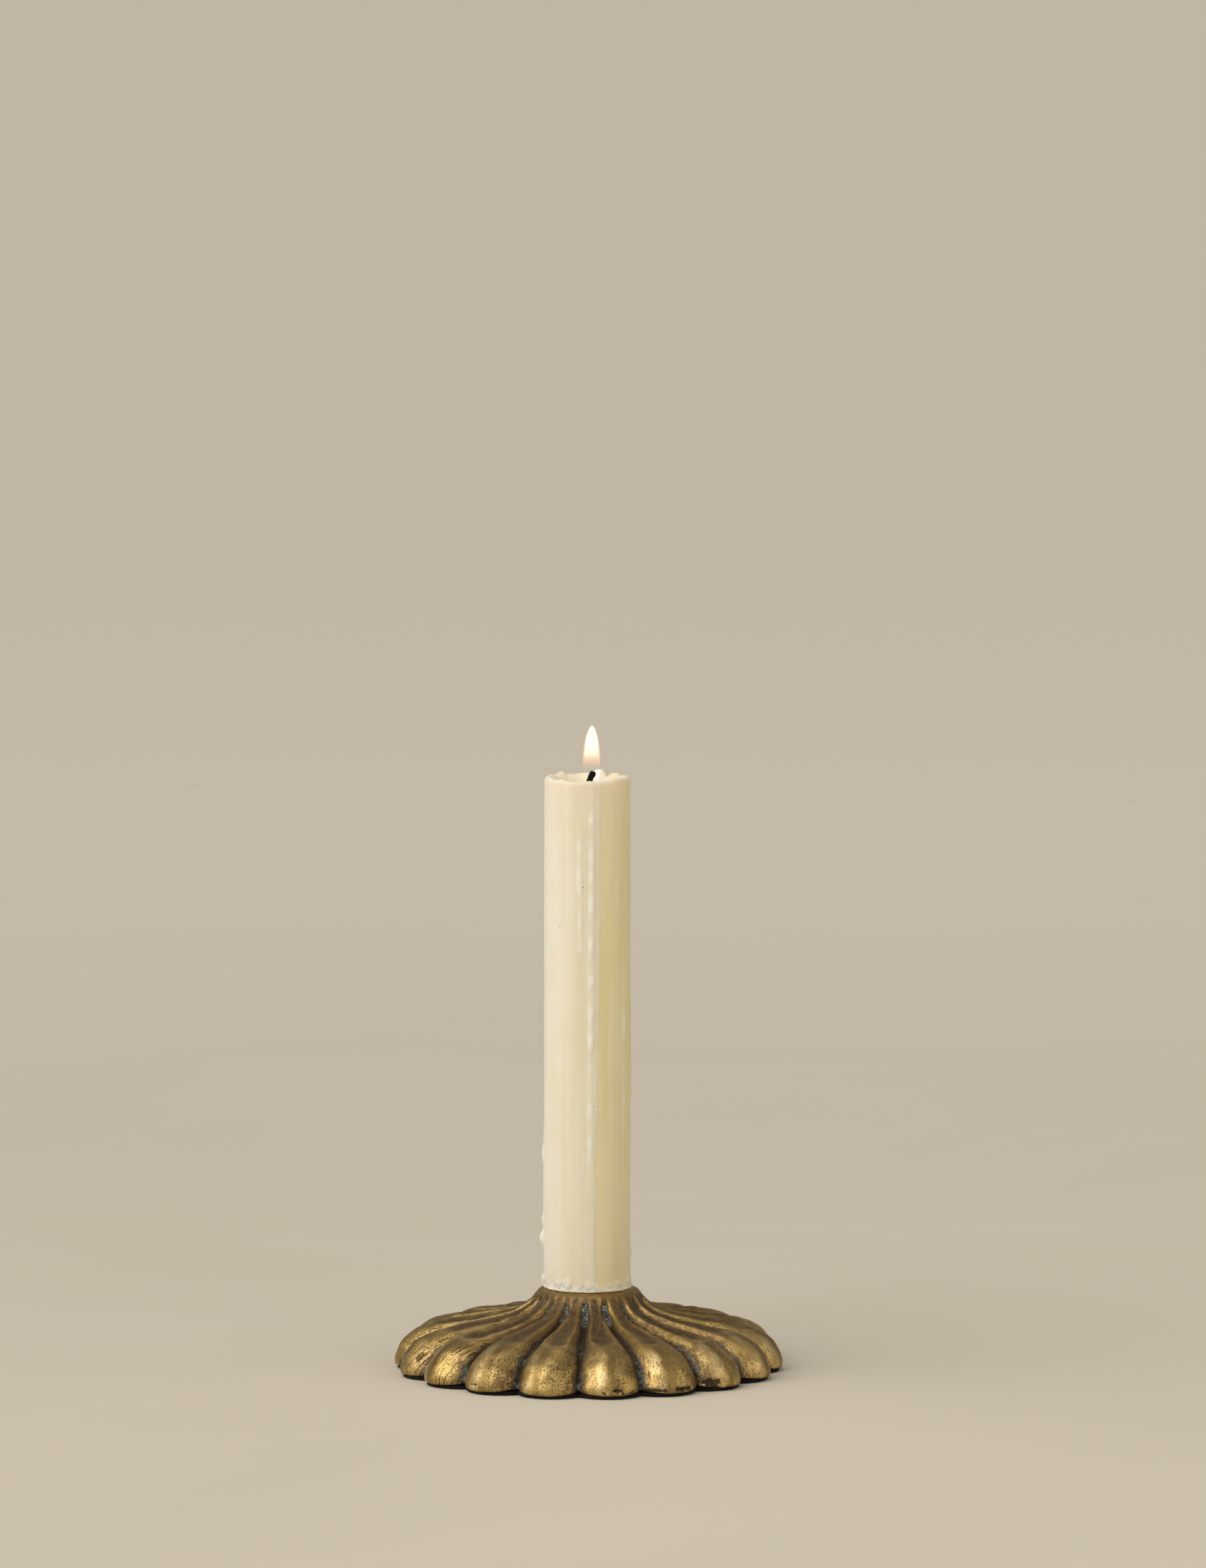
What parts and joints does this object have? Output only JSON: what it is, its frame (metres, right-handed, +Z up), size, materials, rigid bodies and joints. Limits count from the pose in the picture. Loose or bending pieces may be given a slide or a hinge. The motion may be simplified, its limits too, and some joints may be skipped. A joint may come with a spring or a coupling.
{
  "type": "pillar candle holder",
  "caption": "Low fluted cast brass candle holder with a scalloped foot on a felt pad, a flared neck with a pricket, and a lit ivory pillar candle that lifts off.",
  "frame": {"origin": "centre of the felt pad's underside, on the surface that the holder stands on", "axes": "+Z up along the candle; a valley of the fluted base faces -Y and a crest faces +X; the wick leans towards +X"},
  "size_m": [0.171, 0.1684, 0.2846],
  "materials": {
    "brass": "satin cast brass with brown and grey-green patina in the valleys",
    "steel": "zinc plated, dull",
    "felt": "black wool felt",
    "wax": "ivory candle wax, satin and slightly translucent",
    "molten_wax": "liquid wax, glossy",
    "wick": "charred cotton",
    "flame": "glowing candle flame"
  },
  "bodies": {
    "holder": {"base_casting": "brass", "felt_pad": "felt", "bottom_plate": "steel", "plate_screw_1": "steel", "plate_screw_2": "steel", "plate_screw_3": "steel", "pricket_spike": "steel", "spike_washer": "steel", "spike_spring_washer": "steel", "spike_nut": "steel"},
    "candle": {"candle_wax": "wax", "wax_pool": "molten_wax", "candle_wick": "wick", "flame": "flame"}
  },
  "joints": [
    {"name": "candle_lift", "type": "slide", "parent": "holder", "child": "candle", "axis": [0, 0, 1], "range_m": [0, 0.03]}
  ]
}
